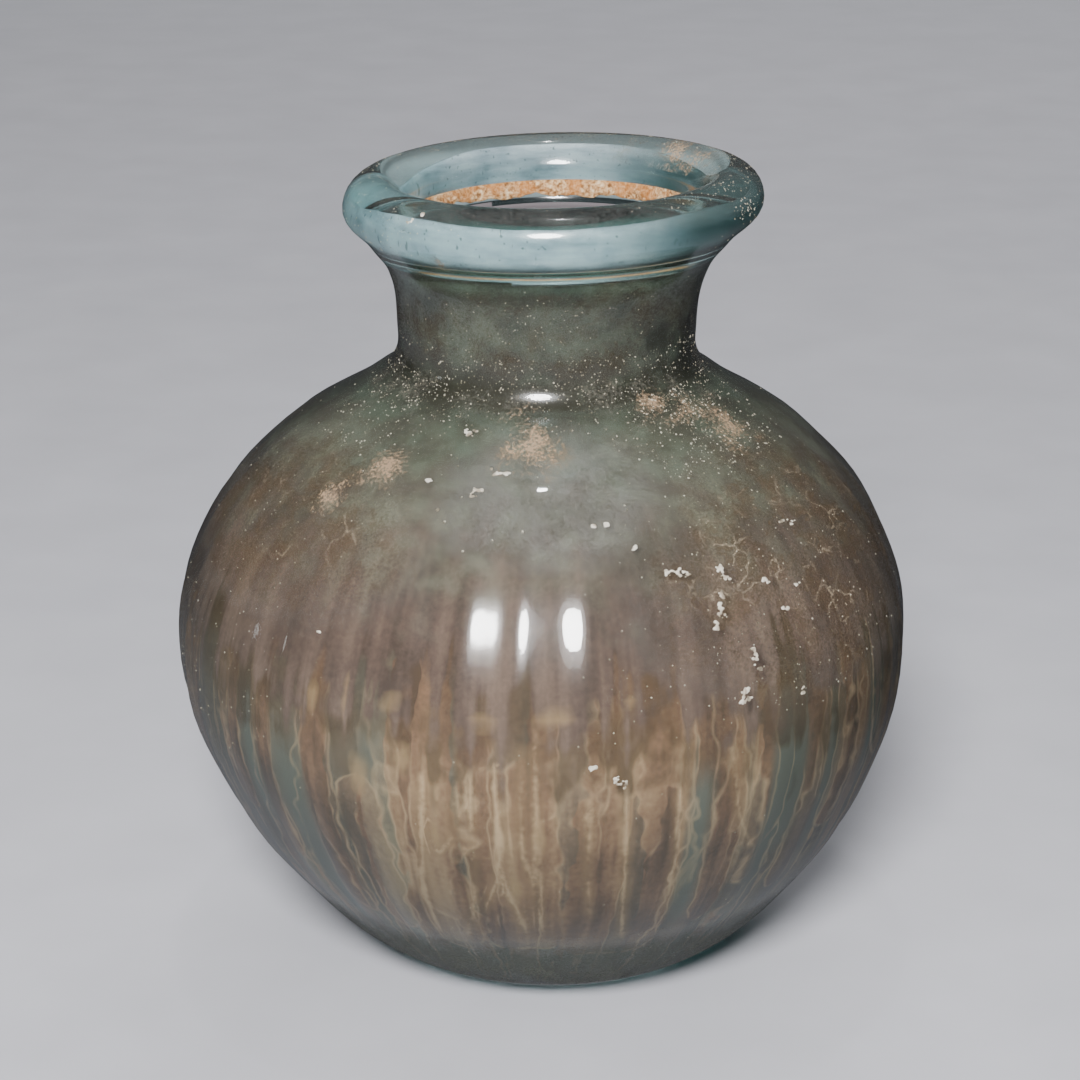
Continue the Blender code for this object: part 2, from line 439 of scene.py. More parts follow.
def drawFilm(piece):
    # signed distances in mm along the wall, made into crisp edges by the material
    lobes, drips, streaks = filmPattern()
    degree = filmShape["degreeWidth"]
    rows = []
    count = len(piece.data.vertices) // 2  # Solidify keeps the two sides one after the other
    points = piece.data.vertices
    cavity = int(points[count + count // 2].co.xy.length < points[count // 2].co.xy.length)
    for index, vertex in enumerate(points):
        height, azimuth = vertex.co.z / mm, azimuthOf(fromAxis(vertex.co / mm))
        edge, clean, line, side, spot = 4.0, 0.0, 3.0, 3.0, 3.0
        if height < 50:
            for start, end, top, bottom, corner in lobes:
                half = (end - start) * degree / 2
                du = abs(stepRound(azimuth, (start + end) / 2)) * degree - half + corner
                if du < 6:
                    dv = abs(height - (top + bottom) / 2) - (top - bottom) / 2 + corner
                    edge = min(edge, math.hypot(max(du, 0), max(dv, 0)) + min(max(du, dv), 0) - corner)
            for place, width, top, bottom in streaks:
                across = abs(stepRound(azimuth, place)) * degree / width
                if across < 1:
                    share = smoothStep(height, bottom - 2, bottom + 3) * smoothStep(height, top + 2, top - 3)
                    clean = max(clean, smoothStep(across, 0.9, 0.25) * share)
            for run in drips:
                if abs(stepRound(azimuth, run[0][0])) < 14:
                    near = distanceToLine(azimuth, height, run, degree)
                    if near < line:
                        line, side = near, besideLine(azimuth, height, run, degree)
            for place, level, wide, tall in filmShape["spots"]:
                away = math.hypot(stepRound(azimuth, place) * degree / wide, (height - level) / tall)
                spot = min(spot, away - 1)
        # a light and dark wave along the ribs: partly silt pooled in their hollows, partly painted shading for the
        # light the ribs bend
        wave = math.cos(math.radians(flaskShape["ribCount"] * (azimuth - flaskShape["ribTurn"])) + 1.5)
        wave *= smoothStep(height, 8, 16) * (1 - smoothStep(height, 48, 58))
        rows.append((edge, line, side, clean, spot, wave, float(index // count == cavity)))
    drawPoints(piece, filmFields, rows)


filmLook = {
    # tones from dark to light
    "lobe": ("#4c362a", "#684838", "#7f5a45", "#977258"), "window": ("#50443b", "#645549", "#786757"),
    "upper": ("#48352f", "#5c443d", "#70554b"), "shoulder": ("#463c33", "#554a40", "#675c50"),
    "neck": ("#302f27", "#413f35", "#535146"),
    # clear is painted shade: the dim inside that a clean streak would show
    "halo": "#8b664a", "cream": "#c49a7c", "spot": "#997455", "smudge": "#46301f", "clear": "#5f5850",
    # the cavity and mouth tones are painted shade: how the unlit inside looks through the mouth
    "foot": "#4c4d44", "root": "#2c231a", "throat": "#6a6467", "mouth": "#3c605d", "cavity": "#737671",
}


def soilFilmAndShadeMaterial(piece):
    # silt that dried on the wall: matt, tan in its lobes, grey where it is thin and cream where a drip ended; the
    # clean streaks and the side facing the cavity carry painted shade
    look = filmLook
    tree, shader, place = newMaterial(piece, "driedSiltAndShade")
    fields = {name: addNode(tree, "Attribute", {"attribute_name": name}).outputs["Fac"] for name in filmFields}
    fields["height"] = addNode(tree, "SeparateXYZ", {"Vector": place}).outputs["Z"]
    # noise drawn out 10 to 1 down the wall, and patches about 10 mm and 3 mm across
    around = addNode(tree, "Mapping", {"Scale": (1, 1, 0), "Vector": place})
    around = addNode(tree, "VectorMath", {"operation": "NORMALIZE", 0: around})
    around = addNode(tree, "VectorMath", {
        "operation": "SCALE", "Scale": flaskShape["bellyRadius"] * mm, 0: around})
    upright = addNode(tree, "Mapping", {"Scale": (0, 0, 0.10), "Vector": place})
    drawnOut = addNode(tree, "VectorMath", {"operation": "ADD", 0: around, 1: upright})
    for name, scale, detail, roughness, where in (
            ("streaky", 520.0, 2.0, 0.62, drawnOut), ("patchy", 95.0, 2.0, 0.62, place),
            ("ragged", 330.0, 1.0, 0.6, place), ("grain", 1500.0, 2.0, 0.7, place)):
        fields[name] = addNode(tree, "TexNoise", {
            "Scale": scale, "Detail": detail, "Roughness": roughness, "Vector": where})
    # fingers of silt 3 mm wide that ran down side by side, each dried to its own tone with a fine pale edge
    bend = addNode(tree, "VectorMath", {
        "operation": "SCALE", "Scale": 1.6 * mm, 0: fields["ragged"].outputs["Color"]})
    bent = addNode(tree, "VectorMath", {"operation": "ADD", 0: drawnOut, 1: bend})
    fingers = addNode(tree, "TexVoronoi", {"Scale": 300.0, "Vector": bent}).outputs["Color"]
    fingers = addNode(tree, "SeparateColor", {"Color": fingers})
    fields["fingerTone"], fields["fingerKind"] = fingers.outputs["Red"], fingers.outputs["Green"]
    fields["fingerEdge"] = addNode(tree, "TexVoronoi", {
        "feature": "DISTANCE_TO_EDGE", "Scale": 300.0, "Vector": bent})
    workOut(tree, fields, (
        ("height", "MULTIPLY", "height", 1000.0),  # lengths in mm
        ("cloudy", "ADD", "ragged", "patchy"), ("cloudy", "MULTIPLY", "cloudy", 0.5),
        # the rib wave: partly pooled silt, partly painted shading
        ("mottle", "ADD", "streaky", "patchy"), ("mottle", "MULTIPLY_ADD", "ribWave", 0.07, "mottle"),
        ("mottle", "MULTIPLY", "mottle", 0.5),
        # grains of half a millimetre break up every tone
        ("grain", "SUBTRACT", "grain", 0.5), ("mottle", "MULTIPLY_ADD", "grain", 0.22, "mottle"),
        ("cloudy", "MULTIPLY_ADD", "grain", 0.22, "cloudy"),
        ("toned", "SUBTRACT", "fingerTone", 0.5), ("toned", "MULTIPLY_ADD", "toned", 0.16, "mottle"),
        ("wander", "SUBTRACT", "ragged", 0.5), ("wander", "MULTIPLY", "wander", 1.4),
        ("edge", "ADD", "lobeEdge", "wander"), ("inLobe", "SPAN", "edge", 0.15, -0.15),
        # in a lobe most fingers are tan, outside it most are grey
        ("grey", "MULTIPLY_ADD", "inLobe", -0.44, "fingerKind"), ("grey", "SPAN", "grey", 0.24, 0.30, 0.85),
        ("faint", "MULTIPLY_ADD", "inLobe", -0.5, 1.0), ("grey", "MULTIPLY", "grey", "faint"),
        # pale lines: rims of lobes and edges of fingers, both broken, and the drips, which swell and thin out
        ("rim", "ABSOLUTE", "edge"), ("rim", "SPAN", "rim", 0.25, 0.0, 0.4),
        ("fingerEdge", "SPAN", "fingerEdge", 0.06, 0.0, 0.4), ("paleLine", "MAXIMUM", "rim", "fingerEdge"),
        ("paleLine", "SPAN", "streaky", 0.40, 0.56, "paleLine"),
        ("across", "MULTIPLY_ADD", "wander", 0.35, "dripSide"), ("across", "ABSOLUTE", "across"),
        ("swelling", "SUBTRACT", "cloudy", 0.47), ("across", "MULTIPLY_ADD", "swelling", -1.5, "across"),
        ("drip", "SPAN", "across", 0.30, -0.1, 0.6), ("drip", "SPAN", "mottle", 0.42, 0.56, "drip"),
        ("drip", "SPAN", "dripLine", 0.9, 0.4, "drip"), ("halo", "SPAN", "dripLine", 1.1, 0.2, 0.45),
        ("spot", "ADD", "spotEdge", "wander"), ("spot", "SPAN", "spot", 0.3, -0.5, 0.6),
        # heights where one kind of film gives way to the next
        ("level", "MULTIPLY_ADD", "wander", 9.0, "height"), ("tide", "SUBTRACT", "streaky", 0.5),
        ("tide", "MULTIPLY_ADD", "tide", 24.0, "level"), ("isUpper", "SPAN", "tide", 35.5, 39.0),
        ("isShoulder", "SPAN", "level", 45.0, 55.0), ("isNeck", "SPAN", "level", 55.0, 61.0),
        ("isFoot", "SPAN", "height", 12.0, 8.0, 0.95),
        ("smudge", "SPAN", "patchy", 0.40, 0.60, 0.75), ("smudge", "SPAN", "tide", 30.5, 34.5, "smudge"),
        ("smudge", "SPAN", "tide", 40.5, 37.0, "smudge"), ("root", "SPAN", "level", 68.5, 63.5, 0.85),
        ("root", "SPAN", "height", 59.0, 61.5, "root"),
        # what is seen of it from inside, through the mouth: the side facing the cavity is painted a flat grey, and
        # dark teal at the neck's root, as painted shade of the unlit inside; higher up, the throat's mauve grey
        ("cavity", "MULTIPLY", "cavitySide", 0.85), ("mouth", "SPAN", "height", 56.0, 62.0, "cavitySide"),
        ("throat", "SPAN", "height", 71.0, 73.0, "cavitySide"),
        # the film hides all behind it except in a clean streak, between the lobes and up the neck
        ("cover", "MULTIPLY_ADD", "inLobe", 0.05, 0.95), ("cover", "MAXIMUM", "cover", "isUpper"),
        ("cover", "MULTIPLY_ADD", "streakShare", -0.10, "cover"),
        ("thin", "SPAN", "height", 62.0, 66.0, 0.08), ("cover", "SUBTRACT", "cover", "thin")))
    tones = {}
    for name, source, stops in (
            ("lobe", "toned", (0.34, 0.45, 0.55, 0.68)), ("window", "toned", (0.36, 0.5, 0.64)),
            ("upper", "mottle", (0.36, 0.5, 0.64)), ("shoulder", "cloudy", (0.38, 0.5, 0.62)),
            ("neck", "cloudy", (0.38, 0.5, 0.62))):
        tones[name] = addNode(tree, "ValToRGB", {"stops": list(zip(stops, look[name])), "Fac": fields[source]})
    # painted one over the other; clear, cavity and mouth are painted shade, not tones of the silt
    colour = tones["lobe"]
    for amount, paint in (("grey", "window"), ("halo", "halo"), ("streakShare", "clear"), ("isFoot", "foot"),
                          ("paleLine", "cream"), ("isUpper", "upper"), ("smudge", "smudge"), ("drip", "cream"),
                          ("spot", "spot"), ("isShoulder", "shoulder"), ("isNeck", "neck"), ("root", "root"),
                          ("cavity", "cavity"), ("mouth", "mouth"), ("throat", "throat")):
        over = tones[paint] if paint in tones else linearColour(look[paint])
        colour = addNode(tree, "MixRGB", {"Fac": fields[amount], "Color1": colour, "Color2": over})
    setSockets(tree, shader, {
        "Base Color": colour, "Alpha": fields["cover"], "Roughness": 0.85, "Specular IOR Level": 0.2})


def makeSoilFilm():
    piece = skinOf(flaskGlass, "soilFilm", facesCavity, filmShape["gap"], filmShape["thickness"])
    drawFilm(piece)
    soilFilmAndShadeMaterial(piece)
    return piece


soilFilm = makeSoilFilm()
print("soil film laid:", len(soilFilm.data.polygons), "faces")

# the milky layer caught between the two layers of the folded rim
seamShape = {
    # closed section in mm, a thin curl from the fold's free edge up into the lip
    "section": [
        (15.5, 76.75), (16.6, 76.5), (17.5, 77), (17.95, 78), (18, 79.5), (17.75, 79.5), (17.65, 78.1),
        (17.3, 77.3), (16.5, 76.8), (15.5, 76.95)],
    "segments": 240, "cuts": 3, "ripple": 0.12,
    # at the back of the mouth the layer stands higher above its foot and closer to the inside
    "foot": 76.6, "backRise": 0.45, "backInward": 1.6,
    # between the front and the back, on either side, its top edge is lower: azimuth, spread, drop
    "dips": [(-98, 60, 1.4), (98, 60, 1.2)],
}
# clear is painted shade: the dark teal that clear, fused glass shows
seamLook = {"milk": ("#616e76", "#828b94", "#9ea4ab"), "clear": "#2f4042", "fleck": "#39484a"}


def seamMilkAndShadeMaterial(piece):
    # air and weathering between two glass layers: a broken milky blue that scatters light, painted dark where the
    # layers have fused as painted shade of the clear glass
    look = seamLook
    tree, shader, place = newMaterial(piece, "seamMilkAndShade")
    flat = addNode(tree, "Mapping", {"Scale": (0.25, 0.25, 1.6), "Vector": place})
    streaky = addNode(tree, "TexNoise", {"Scale": 900.0, "Detail": 5.0, "Roughness": 0.6, "Vector": flat})
    cloudy = addNode(tree, "TexNoise", {"Scale": 220.0, "Detail": 4.0, "Vector": place})
    both = addNode(tree, "Math", {"operation": "ADD", 0: streaky, 1: cloudy})
    both = addNode(tree, "Math", {"operation": "MULTIPLY", 0: both, 1: 0.5})
    colour = addNode(tree, "ValToRGB", {"stops": list(zip((0.34, 0.46, 0.6), look["milk"])), "Fac": both})
    flecks = addNode(tree, "TexNoise", {"Scale": 2600.0, "Detail": 1.0, "Vector": place})
    flecks = addNode(tree, "MapRange", {"From Min": 0.68, "From Max": 0.72, "To Max": 0.7, "Value": flecks})
    colour = addNode(tree, "MixRGB", {"Fac": flecks, "Color1": colour, "Color2": linearColour(look["fleck"])})
    # towards the right the two layers have fused, so less milk shows between them; there the layer is painted dark
    # teal, painted shade for the dark that the clear glass shows
    across = addNode(tree, "SeparateXYZ", {"Vector": place})
    fusedShade = addNode(tree, "MapRange", {"Value": across, "From Min": 5 * mm, "From Max": 14 * mm, "To Max": 0.95})
    colour = addNode(tree, "MixRGB", {"Fac": fusedShade, "Color1": colour, "Color2": linearColour(look["clear"])})
    bump = addNode(tree, "Bump", {"Strength": 0.5, "Distance": 0.1 * mm, "Height": both})
    setSockets(tree, shader, {
        "Base Color": colour, "Roughness": 0.6, "Specular IOR Level": 0.3, "Normal": bump})


def makeFoldSeam():
    piece = turnProfile("foldSeam", seamShape["section"], seamShape["segments"], seamShape["cuts"], closed=True)
    for vertex in piece.data.vertices:
        x, y, z = vertex.co / mm
        radius = math.hypot(x, y)
        swell = seamShape["ripple"] * noise.noise(Vector((x / 3, y / 3, z * 0.6)))
        back = smoothStep(y / radius, 0.1, 0.95) * smoothStep(z, 76.5, 78.5)
        swell -= seamShape["backInward"] * back
        z += seamShape["backRise"] * back * (z - seamShape["foot"])
        for middle, spread, drop in seamShape["dips"]:
            away = abs(stepRound(azimuthOf(vertex.co), middle)) / spread
            z -= drop * (1 - smoothStep(away, 0.0, 1.0)) * smoothStep(z, 77.0, 79.5)
        vertex.co = leaned(x * (1 + swell / radius), y * (1 + swell / radius), z)
    seamMilkAndShadeMaterial(piece)
    return piece


foldSeam = makeFoldSeam()
print("seam of the fold made")

# sandy crust left under the fold, on the wall away from the camera
crustShape = {
    "section": [(14.62, 77.56), (14.34, 77.2), (14.16, 76.7), (14.12, 76.25), (14.2, 76), (14.3, 76.1),
                (14.5, 76.5), (14.98, 76.9), (14.72, 77.4)],
    # the wall behind it, which it is bonded to
    "wall": [(14.6, 77.7), (15, 76.9), (14.05, 75.75), (14.3, 74)], "bond": 0.04,
    "middle": 180, "spread": 74, "taper": 26, "segments": 300, "cuts": 3,
    "lump": 0.22, "lumpSize": 1.4, "grain": 0.10, "grainSize": 0.35, "hang": 0.5,
}
crustLook = {"sand": ("#66472f", "#a57a52", "#c9a074", "#dec7a4"), "rust": "#b06f38"}


def sandyCrustMaterial(piece):
    # burial sand cemented with iron and lime: matt grains about a quarter of a millimetre across
    look = crustLook
    tree, shader, place = newMaterial(piece, "cementedSand")
    grains = addNode(tree, "TexNoise", {
        "Scale": 1 / (0.4 * mm), "Detail": 3.0, "Roughness": 0.7, "Vector": place})
    colour = addNode(tree, "ValToRGB", {
        "stops": list(zip((0.34, 0.44, 0.54, 0.66), look["sand"])), "Fac": grains})
    patches = addNode(tree, "TexNoise", {"Scale": 420.0, "Detail": 2.0, "Vector": place})
    rusty = addNode(tree, "MapRange", {"From Min": 0.48, "From Max": 0.62, "To Max": 0.6, "Value": patches})
    colour = addNode(tree, "MixRGB", {"Fac": rusty, "Color1": colour, "Color2": linearColour(look["rust"])})
    bump = addNode(tree, "Bump", {"Strength": 0.8, "Distance": 0.12 * mm, "Height": grains})
    setSockets(tree, shader, {
        "Base Color": colour, "Roughness": 0.92, "Specular IOR Level": 0.15, "Normal": bump})


def makeSandyCrust():
    shape = crustShape

    def fromMiddle(place):
        return abs(stepRound(azimuthOf(place), shape["middle"]))

    piece = turnProfile("sandyCrust", shape["section"], shape["segments"], shape["cuts"], closed=True)
    # the ring is cut down to the stretch that holds sand, and its ends are closed
    deleteFaces(piece, lambda face: fromMiddle(face.center) > shape["spread"])
    bpy.ops.mesh.select_mode(type="EDGE")
    bpy.ops.mesh.select_all(action="DESELECT")
    bpy.ops.mesh.select_non_manifold()
    bpy.ops.mesh.edge_face_add()
    bpy.ops.mesh.select_all(action="SELECT")
    bpy.ops.mesh.normals_make_consistent(inside=False)
    bpy.ops.object.mode_set(mode="OBJECT")
    for vertex in piece.data.vertices:
        x, y, z = vertex.co / mm
        radius, angle = math.hypot(x, y), math.atan2(y, x)
        taper = 1 - smoothStep(fromMiddle(vertex.co), shape["spread"] - shape["taper"], shape["spread"])
        behind = wallRadius(shape["wall"], z) - shape["bond"]
        proud = max(behind - radius, 0)
        lump = shape["lump"] * noise.noise(Vector((x, y, z)) / shape["lumpSize"])
        lump += shape["grain"] * noise.noise(Vector((x, y, z)) / shape["grainSize"])
        if proud > 0.05:
            radius = behind - max(proud * (0.25 + 0.75 * taper) + lump * (0.3 + 0.7 * taper), 0.03)
        ragged = noise.noise(Vector((angle * 5, 0, 2.0))) + 0.5 * noise.noise(Vector((angle * 17, 0, 5.0)))
        z += shape["hang"] * ragged * smoothStep(z, 77.3, 76.5)
        vertex.co = leaned(math.cos(angle) * radius, math.sin(angle) * radius, z)
    sandyCrustMaterial(piece)
    return piece


sandyCrust = makeSandyCrust()
print("sandy crust made:", len(sandyCrust.data.polygons), "faces")

# the weathered outer face: thin dust, tan soil stains and the fine net that roots etched on it, and on the same
# layer a painted sheen and painted shade
skinShape = {
    "gap": 0.010, "thickness": 0.012, "foot": 2.6, "rimTop": 79.6, "rimCentre": 79.2,
    # tan stains: azimuth, height, half width, half height in mm
    "stains": [
        (-4.6, 59.5, 1.7, 1.3), (-2.6, 60.6, 1.1, 0.6), (47, 60.4, 2.6, 0.6), (59, 59, 2, 0.9),
        (40, 61.6, 1.3, 0.6), (-40, 56.7, 1.3, 0.8), (-47.5, 53.8, 0.9, 0.7), (115, 81.2, 1.6, 0.9),
        (128, 81.5, 1, 0.7), (-33, 76.4, 0.3, 0.5)],
    # zones: azimuth middle and spread, height middle and spread, share
    "dust": [
        (0, 200, 62, 4, 0.4), (-72, 26, 65, 7, 0.6), (72, 26, 66, 7, 0.6),
        (52, 40, 60, 3.5, 0.7), (-60, 40, 60, 4, 0.5), (120, 50, 80.8, 2.6, 0.8),
        (180, 80, 61, 8, 0.7), (-78, 14, 38, 20, 0.4), (60, 60, 46, 14, 0.3),
        (180, 110, 82.4, 1.6, 0.7)],
    "soil": [
        (52, 46, 48, 13, 0.9), (-56, 40, 51, 9, 0.9), (150, 60, 50, 14, 0.8),
        (-150, 60, 46, 14, 0.7), (0, 200, 70, 7, 0.45)],
    "net": [(50, 44, 47, 13, 1), (-50, 34, 53, 7, 0.7), (170, 60, 48, 16, 0.8)],
    # bloom: pale weathering haze round the crest, and on the front of the shoulder a pale patch that is painted
    # sheen
    "bloom": [(2, 36, 56, 6.5, 0.19), (0, 360, 82, 2.6, 0.10)],
    # painted shade: a dark grey layer over the bottom 13 mm, darkening the foot
    "grime": [(0, 360, 0, 13, 0.8)],
}
# the grime tone is painted shade for the bottom; the bloom tone is haze and painted sheen
skinLook = {"dust": "#8f887a", "soil": "#51412f", "stain": "#b39679", "net": "#8f806c", "bloom": "#9f9f9b",
            "grime": "#55574f", "haze": 0.02}


def stainAt(centre):
    # below 0 inside a stain, and growing by 1 for each of its half widths
    azimuth, radius = azimuthOf(fromAxis(centre)), centre.xy.length
    return min(
        math.hypot(math.radians(stepRound(azimuth, middle)) * radius / wide, (centre.z - level) / tall) - 1
        for middle, level, wide, tall in skinShape["stains"])


skinZones = ("dust", "soil", "net", "bloom", "grime")
skinFields = (*skinZones, "stainEdge")


def zoneShares(centre):
    # how much of each a point in mm has
    azimuth, shares = azimuthOf(fromAxis(centre)), []
    for name in skinZones:
        away = [(math.hypot(stepRound(azimuth, middle) / spread, (centre.z - level) / rise), most)
                for middle, spread, level, rise, most in skinShape[name]]
        shares.append(max(most * (1 - smoothStep(far, 0.45, 1.0)) for far, most in away))
    return shares


def facesRoom(centre, normal):
    facesOut = normal.dot(fromAxis(centre).normalized()) > 0.02 or centre.z > skinShape["rimTop"]
    soiled = max(zoneShares(centre)) > 0.01 or stainAt(centre) < 2.5
    return facesOut and centre.z > skinShape["foot"] and soiled


def weatheredFaceSheenShadeMaterial(piece):
    # old soda glass from the ground: a breath of pale haze, dust in grains a third of a millimetre wide, stains,
    # with a painted sheen on the front of the shoulder and painted shade round the bottom
    look = skinLook
    tree, shader, place = newMaterial(piece, "weatheredFaceSheenShade")
    fields = {name: addNode(tree, "Attribute", {"attribute_name": name}).outputs["Fac"] for name in skinFields}
    fields["fine"] = addNode(tree, "TexNoise", {"Scale": 3600.0, "Detail": 2.0, "Vector": place})
    fields["patchy"] = addNode(tree, "TexNoise", {
        "Scale": 260.0, "Detail": 3.0, "Roughness": 0.62, "Vector": place})
    # the net: cell edges about 3 mm apart, bent by noise and broken up
    bend = addNode(tree, "VectorMath", {
        "operation": "SCALE", "Scale": 3.5 * mm, 0: fields["patchy"].outputs["Color"]})
    bent = addNode(tree, "VectorMath", {"operation": "ADD", 0: place, 1: bend})
    fields["cells"] = addNode(tree, "TexVoronoi", {
        "feature": "DISTANCE_TO_EDGE", "Scale": 330.0, "Vector": bent})
    # stains end in a ragged, grainy edge
    workOut(tree, fields, (
        ("both", "ADD", "fine", "patchy"), ("wander", "SPAN", "both", 0.75, 1.25, -1.3, 1.3),
        ("stain", "ADD", "stainEdge", "wander"), ("stain", "SPAN", "stain", 0.5, -1.1, 0.65),
        ("net", "SPAN", "patchy", 0.5, 0.6, "net")))
    for name, source, low, high, most in (
            ("bloom", "both", 0.6, 1.2, 1.3), ("grime", "both", 0.5, 1.3, 1.2), ("soil", "both", 0.85, 1.25, 0.75),
            ("dust", "both", 1.02, 1.35, 0.7), ("net", "cells", 0.04, 0.0, 0.4)):
        workOut(tree, fields, ((name, "MULTIPLY", name, most), (name, "SPAN", source, low, high, name)))
    workOut(tree, fields, (("haze", "MULTIPLY", "patchy", look["haze"]), ("cover", "MAXIMUM", "haze", "bloom")))
    # the pale base tone is haze on the crest and painted sheen on the shoulder
    colour = linearColour(look["bloom"])
    for name in ("grime", "dust", "soil", "net", "stain"):
        workOut(tree, fields, (("hides", "MULTIPLY", name, 5.0), ("cover", "MAXIMUM", "cover", name)))
        colour = addNode(tree, "MixRGB", {
            "Fac": fields["hides"], "Color1": colour, "Color2": linearColour(look[name])})
    setSockets(tree, shader, {
        "Base Color": colour, "Alpha": fields["cover"], "Roughness": 0.75, "Specular IOR Level": 0.3})


def clearUndersideMaterial(piece):
    # the side of the dust that lies on the glass adds nothing to what is seen
    tree, shader, _ = newMaterial(piece, "clearUnderside")
    setSockets(tree, shader, {"Alpha": 0.0, "Specular IOR Level": 0.0})


def makeWeatherSkin():
    piece = skinOf(flaskGlass, "weatherSkin", facesRoom, skinShape["gap"], skinShape["thickness"])
    drawPoints(piece, skinFields, [(*zoneShares(vertex.co / mm), min(stainAt(vertex.co / mm), 3.0))
                                   for vertex in piece.data.vertices])
    weatheredFaceSheenShadeMaterial(piece)
    clearUndersideMaterial(piece)
    for face in piece.data.polygons:
        centre = face.center / mm
        outward = fromAxis(centre) + Vector((0, 0, max(centre.z - skinShape["rimCentre"], 0)))
        face.material_index = int(face.normal.dot(outward.normalized()) < 0)
    piece.visible_shadow = False  # the layer is far too thin to shade the glass
    return piece


weatherSkin = makeWeatherSkin()
print("weathered face laid:", len(weatherSkin.data.polygons), "faces")

# lime flakes stuck on the outside, each grown from many small grains
flakeShape = {
    "voxel": 0.07, "seed": 5, "grain": (0.10, 0.26),
    # lime: azimuth, height, then blobs as (across, up, half width, half height) in mm from there
    "lime": [
        (22.9, 50.1, [(-0.6, 0.2, 0.6, 0.35), (0.2, 0, 0.75, 0.45), (0.9, -0.3, 0.5, 0.3)]),
        (31.6, 49.4, [(0, 0.4, 0.5, 0.6), (0.2, -0.5, 0.6, 0.5), (-0.4, 0.6, 0.3, 0.3)]),
        (30, 47.4, [(0.2, 0.5, 0.4, 0.6), (-0.2, -0.4, 0.5, 0.6), (-0.5, -1.2, 0.4, 0.4)]),
        (28.4, 45.6, [(0, 0.2, 0.45, 0.3), (-0.4, -0.4, 0.3, 0.3)]),
        (33.6, 42.2, [(0, 0.6, 0.3, 0.6), (0.2, -0.4, 0.4, 0.7), (0.4, -1.3, 0.3, 0.4)]),
        (31.2, 38.8, [
            (-0.4, -0.3, 0.5, 0.45), (0.4, 0.5, 0.45, 0.35), (-0.1, 0.5, 0.35, 0.3), (0.5, -0.3, 0.3, 0.4)]),
        (39.3, 48.2, [(0, 0, 0.35, 0.25), (0.4, -0.3, 0.2, 0.2)]), (42.1, 37.7, [(0, 0, 0.4, 0.35)]),
        (41.6, 45.4, [(0, 0, 0.3, 0.2), (0.5, -0.2, 0.2, 0.15)]), (46, 47, [(0, 0, 0.5, 0.2)]),
        (7.3, 34, [(0, 0, 0.5, 0.3)]), (11.2, 32.2, [(-0.4, 0.4, 0.45, 0.4), (0.3, -0.2, 0.65, 0.4)]),
        (-27.2, 56.7, [(0, 0, 0.5, 0.3)]), (-15.3, 56.4, [(0, 0, 0.65, 0.45), (-0.3, -0.4, 0.3, 0.3)]),
        (-11, 57.6, [(-0.5, 0, 0.5, 0.3), (0.5, 0.1, 0.6, 0.3)]), (-23.1, 60.1, [(0, 0, 0.7, 0.5)]),
        (9.3, 54.2, [(0, 0, 0.28, 0.2)]), (11.9, 54.2, [(0, 0, 0.25, 0.18)]),
        (16.3, 52.4, [(0, 0, 0.35, 0.3)]), (51.4, 51.6, [(-0.6, 0.3, 0.7, 0.2), (0.5, -0.2, 0.6, 0.2)]),
        (-37, 44, [(0, 0, 0.2, 0.15)]), (-42, 80.4, [(0, 0, 0.4, 0.3)]),
        (-38.6, 81, [(0, 0, 0.25, 0.15)])],
}
# from hollow to base
limeTones = ("#6f6658", "#a69a88", "#d9d2c4")
speckleTones = ("#6f6658", "#8f8573", "#bdb5a4")


def footOnGlass(azimuth, height):
    # where a ray meets the outer wall, with the wall's normal, its right and its up; it comes in level, or above
    # the crest from straight above, where each mm more than 82 is a mm nearer to the middle
    turn = math.radians(azimuth)
    outward = Vector((math.sin(turn), -math.cos(turn), 0.0))
    start, way = outward * 60 + Vector((axisDrift(height), 0, height)), -outward
    if height > 82:
        start, way = outward * (102 - height) + Vector((axisDrift(height), 0, 90)), Vector((0, 0, -1))
    _, place, normal, _ = flaskGlass.ray_cast(start * mm, way)
    right = Vector((0, 0, 1)).cross(normal).normalized()
    return place, normal, right, normal.cross(right)


def onGlass(foot, across, up, lift):
    # a point across and up along the wall from a foot, raised off it
    place, normal, right, upward = foot
    above = place + (right * across + upward * up + normal * 1.5) * mm
    _, place, normal, _ = flaskGlass.ray_cast(above, -normal)
    return place + normal * lift * mm


def newGrain():
    bpy.ops.mesh.primitive_ico_sphere_add(subdivisions=1, radius=mm, location=(0, 0, 0))
    return bpy.context.object


def growFlakes(name, patches, thickness, sink):
    dice = random.Random(flakeShape["seed"])
    grown = []
    for azimuth, height, blobs in patches:
        parts = []
        for across, up, wide, tall in blobs:
            for _ in range(4 + int(16 * wide * tall)):
                turn, reach = dice.uniform(0, math.tau), math.sqrt(dice.random())
                size = dice.uniform(*flakeShape["grain"]) * (1.25 - 0.6 * reach)
                blob = newGrain()
                for vertex in blob.data.vertices:
                    spot = vertex.co / mm * dice.uniform(0.75, 1.25)
                    vertex.co = Vector((across + wide * reach * math.cos(turn) + spot.x * size * 1.3,
                                        up + tall * reach * math.sin(turn) + spot.y * size,
                                        spot.z * thickness)) * mm
                parts.append(blob)
        patch = joinPieces(parts)
        applyModifier(patch, "REMESH", {"mode": "VOXEL", "voxel_size": flakeShape["voxel"] * mm})
        offset = Vector((dice.random(), dice.random(), dice.random())) * 9
        foot = footOnGlass(azimuth, height)
        for vertex in patch.data.vertices:
            across, up, lift = vertex.co / mm
            lift = max(lift, -0.05) * (0.75 + 0.6 * noise.noise(Vector((across, up, 0)) * 2.6 + offset))
            vertex.co = onGlass(foot, across, up, lift + sink)
        grown.append(patch)
    piece = joinPieces(grown)
    piece.name = piece.data.name = name
    bpy.ops.object.shade_smooth()
    return piece


